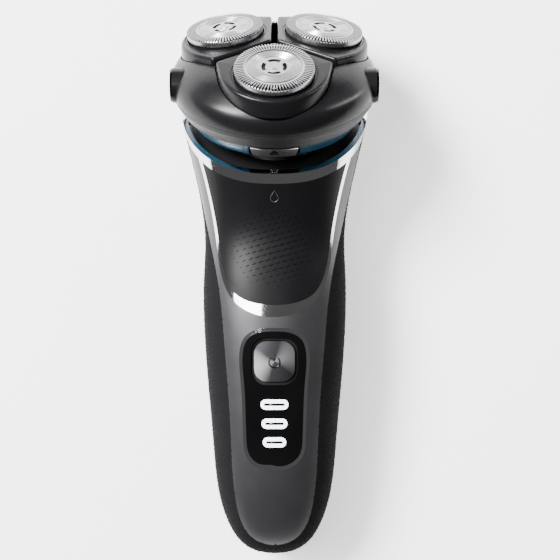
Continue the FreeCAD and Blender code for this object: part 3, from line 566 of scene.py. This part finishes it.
def build_grip_pattern():
    """Small raised lozenges on the thumb rest, largest at its middle and fading out."""
    tree = surface_of("grip_panel")
    solids = []
    rows = int(2 * GRIP_REACH[1] / GRIP_PITCH)
    for i in range(-rows // 2, rows // 2 + 1):
        for j in range(-14, 15):
            x = GRIP_CENTRE[0] + (j + 0.5 * (i % 2)) * GRIP_PITCH * 1.1
            y = GRIP_CENTRE[1] + i * GRIP_PITCH * 0.95 + 0.28 * x
            distance = math.hypot((x - GRIP_CENTRE[0]) / GRIP_REACH[0], (y - GRIP_CENTRE[1]) / GRIP_REACH[1])
            if distance > 1:
                continue
            size = 0.84 * (1 - distance ** 2) ** 0.6 + 0.06
            spot = row(x, y, 0)
            point, normal = drop_on(tree, spot.x, spot.y)
            if point is None:
                continue
            matrix = surface_axes(point, normal)
            loop = [(1.15, 0.45), (0.1, 0.42), (-1.15, -0.45), (-0.1, -0.42)]
            base = [matrix @ Vector((size * a, size * b, -0.05)) for a, b in loop]
            crown = [matrix @ Vector((size * a * 0.45, size * b * 0.45, 0.30 * size)) for a, b in loop]
            solids.append(loft([base, crown], True, False, True))
    mesh = mesh_from("grip_pattern_mesh", *join(*solids))
    make_piece("grip_pattern", mesh, "handle", MATERIALS["grip_black"], smooth=False)


# ---------------------------------------------------------------- small marks and textures
def strip_on(tree, path, width, lift, closed=False):
    """A raised line over a surface, through (x, y) points in design millimetres."""
    rings = []
    count = len(path)
    for i, (x, y) in enumerate(path):
        before = path[i - 1] if (i or closed) else path[0]
        after = path[(i + 1) % count] if (i + 1 < count or closed) else path[-1]
        ahead = Vector((after[0] - before[0], after[1] - before[1])).normalized()
        side = Vector((-ahead.y, ahead.x)) * (width / 2)
        ring = []
        for sign, height in ((-1, -0.08), (-1, lift), (1, lift), (1, -0.08)):
            spot = row(x + sign * side.x, y + sign * side.y, 0)
            point, normal = drop_on(tree, spot.x, spot.y)
            if point is None:
                raise ValueError("a mark runs off its surface")
            ring.append(point + normal * height * MM)
        rings.append(ring)
    if closed:
        rings.append(rings[0])
    return loft(rings, True, not closed, not closed)


def arc_path(x, y, radius, start, end, steps=24):
    turns = [math.radians(start + (end - start) * i / steps) for i in range(steps + 1)]
    return [(x + radius * math.cos(t), y + radius * math.sin(t)) for t in turns]


def build_marks():
    button = surface_of("power_button")
    x, y = 0.0, BUTTON_Y
    mark = join(strip_on(button, arc_path(x, y - 0.2, 1.65, 130, 410), 0.42, 0.05),
                strip_on(button, [(x, y + 0.2), (x, y + 1.0), (x, y + 1.9)], 0.42, 0.05))
    make_piece("power_mark", mesh_from("power_mark_mesh", *mark), "button",
               MATERIALS["inlay_black"])
    lights = surface_of("charge_lights")
    slots = [strip_on(lights, [(-reach, line), (0, line), (reach, line)], 0.75, 0.05)
             for line, reach in ((-37.0, 3.1), (-42.8, 2.8), (-48.5, 2.5))]
    make_piece("light_slots", mesh_from("light_slots_mesh", *join(*slots)), "handle",
               MATERIALS["inlay_black"])
    grip = surface_of("grip_panel")
    drop = [(0, 27.0)] + arc_path(0, 24.8, 1.15, 35, -215)
    mark = strip_on(grip, drop, 0.26, 0.05, closed=True)
    make_piece("water_mark", mesh_from("water_mark_mesh", *mark), "handle", MATERIALS["gunmetal"])


def build_badges():
    """A silver ring and three small circles on each side badge."""
    for side, name in ((-1, "left"), (1, "right")):
        axes = Matrix(((0, 0, side), (side, 0, 0), (0, 1, 0))).to_4x4()
        matrix = head_matrix() @ Matrix.Translation((side * 31.28, -5.5, -12.5)) @ axes
        rings = [lathe(((4.15, 0.0), (4.25, 0.1), (4.6, 0.1), (4.7, 0.0)), 64)]
        for k in range(3):
            turn = math.radians(90 + 120 * k)
            points, faces = lathe(((0.78, 0.0), (0.82, 0.07), (1.05, 0.07), (1.1, 0.0)), 32)
            shift = Vector((1.25 * math.cos(turn), 1.25 * math.sin(turn), 0))
            rings.append(([p + shift for p in points], faces))
        mesh = mesh_from("badge_ring_mesh", *join(*rings), matrix)
        make_piece("badge_ring_" + name, mesh, "cover", MATERIALS["chrome_trim"])


def build_release_marks():
    """Arrow and line on the release button, and its light upper edge."""
    slope = Vector((0, -0.487, 0.874))
    normal = Vector((0, -0.874, -0.487))
    axes = Matrix((Vector((1, 0, 0)), slope, normal)).transposed().to_4x4()
    matrix = head_matrix() @ Matrix.Translation((0, -27.72, -22.9)) @ axes
    solids = []
    arrow = [(-1.25, -0.2), (1.25, -0.2), (0, 1.35)]
    underline = [(-1.25, -0.95), (1.25, -0.95), (1.25, -0.6), (-1.25, -0.6)]
    for outline in (arrow, underline):
        solids.append(loft([[Vector((x, y, z)) for x, y in outline] for z in (-0.1, 0.07)], True, True, True))
    mark = mesh_from("release_mark_mesh", *join(*solids), matrix)
    make_piece("release_mark", mark, "release", MATERIALS["inlay_black"], smooth=False)
    rings = []
    for i in range(17):
        turn = math.radians(-90 - 14 + 28 * i / 16)
        profile = ((28.3, -21.35), (28.66, -21.35), (28.86, -20.98), (28.3, -20.98))
        rings.append([Vector((r * math.cos(turn), r * math.sin(turn), z)) for r, z in profile])
    edge = mesh_from("release_edge_mesh", *loft(rings, True, True, True), head_matrix())
    make_piece("release_edge", edge, "release", MATERIALS["chrome_trim"],
               smooth=False)


PIP_SPACING = 1.0 * MM
PIP_RADIUS = 0.36 * MM
PIP_HEIGHT = 0.22 * MM
PIP_TRIES = 3.2                 # random tries per spacing squared
TINY_AREA = 1e-12
RESTING_SLOPE = -0.75           # faces whose normal has a z below this stay smooth, to lie flat


def build_rubber_pips():
    """Low irregular domes all over the outside of the rubber shell."""
    mesh = NODES["rear_housing"].data
    tree = surface_of("rear_housing")
    source = random.Random(7)
    taken = {}
    points, faces = [], []
    for triangle in mesh.loop_triangles:
        a, b, c = (mesh.vertices[i].co for i in triangle.vertices)
        across = (b - a).cross(c - a)
        area = across.length / 2
        if area < TINY_AREA:
            continue
        normal = across.normalized()
        if normal.z < RESTING_SLOPE:
            continue
        tries = PIP_TRIES * area / PIP_SPACING ** 2
        tries = int(tries) + (1 if source.random() < tries % 1 else 0)
        for _ in range(tries):
            u, v = source.random(), source.random()
            if u + v > 1:
                u, v = 1 - u, 1 - v
            spot = a + (b - a) * u + (c - a) * v
            cell = tuple(int(math.floor(value / PIP_SPACING)) for value in spot)
            near = [q for i in (-1, 0, 1) for j in (-1, 0, 1) for k in (-1, 0, 1)
                    for q in taken.get((cell[0] + i, cell[1] + j, cell[2] + k), ())]
            if any((q - spot).length < PIP_SPACING * 0.88 for q in near):
                continue
            if tree.ray_cast(spot + normal * 0.3 * MM, normal)[0] is not None:
                continue
            taken.setdefault(cell, []).append(spot)
            side = normal.orthogonal().normalized()
            other = normal.cross(side)
            size = PIP_RADIUS * source.uniform(0.75, 1.1)
            first = len(points)
            for k in range(6):
                turn = math.pi * k / 3 + u
                around = side * math.cos(turn) + other * math.sin(turn)
                points.append(spot + around * size - normal * 0.03 * MM)
            points.append(spot + normal * PIP_HEIGHT)
            faces += [(first + k, first + (k + 1) % 6, first + 6) for k in range(6)]
    shell = bpy.data.meshes.new("rubber_pips_mesh")
    shell.from_pydata([tuple(p) for p in points], [], faces)
    make_piece("rubber_pips", shell, "handle", MATERIALS["rubber_shell"])


# ---------------------------------------------------------------- studio
WORLD_LEVEL = 0.09
FLOOR_GLOW = 1.2


def build_stage():
    floor_points = [(-3, -3, 0), (3, -3, 0), (3, 3, 0), (-3, 3, 0)]
    floor_mesh = bpy.data.meshes.new("floor_mesh")
    floor_mesh.from_pydata(floor_points, [], [(0, 1, 2, 3)])
    floor = bpy.data.objects.new("floor", floor_mesh)
    bpy.context.scene.collection.objects.link(floor)
    material, shader = principled("floor_white", (0.92, 0.92, 0.92), 0.9)
    shader.inputs["Emission Color"].default_value = (1, 1, 1, 1)
    shader.inputs["Emission Strength"].default_value = FLOOR_GLOW
    floor_mesh.materials.append(material)


def add_light(name, spot, target, size, power, color=(1, 1, 1)):
    lamp = bpy.data.lights.new(name, "AREA")
    lamp.shape = "RECTANGLE"
    lamp.size, lamp.size_y = size
    lamp.energy = power
    lamp.color = color
    light = bpy.data.objects.new(name, lamp)
    light.location = spot
    light.rotation_mode = "QUATERNION"
    light.rotation_quaternion = (Vector(target) - Vector(spot)).to_track_quat("-Z", "Y")
    bpy.context.scene.collection.objects.link(light)


def build_studio():
    build_stage()
    world = bpy.data.worlds.new("studio")
    world.use_nodes = True
    world.node_tree.nodes["Background"].inputs["Color"].default_value = (1, 1, 1, 1)
    world.node_tree.nodes["Background"].inputs["Strength"].default_value = WORLD_LEVEL
    bpy.context.scene.world = world
    add_light("key", (-0.75, 0.55, 0.95), (0, 0, 0.02), (0.45, 0.45), 80.0)
    add_light("top_left", (-0.40, 0.1, 0.75), (0, 0.02, 0.02), (0.22, 0.6), 6.0)
    add_light("right_strip", (0.42, 0.28, 0.16), (0, 0.06, 0.03), (0.05, 0.35), 1.6)


def build_camera():
    lens = bpy.data.cameras.new("camera")
    lens.sensor_width = 36.0
    lens.lens = 76.0
    lens.clip_start = 0.01
    camera = bpy.data.objects.new("camera", lens)
    camera.location = (1.67 * MM, 0.4 * MM + ALONG_SHIFT, 391.5 * MM)
    bpy.context.scene.collection.objects.link(camera)
    bpy.context.scene.camera = camera


dress_frame()
build_guards()
build_petals()
build_grip_pattern()
build_marks()
build_badges()
build_release_marks()
build_rubber_pips()
build_studio()
build_camera()
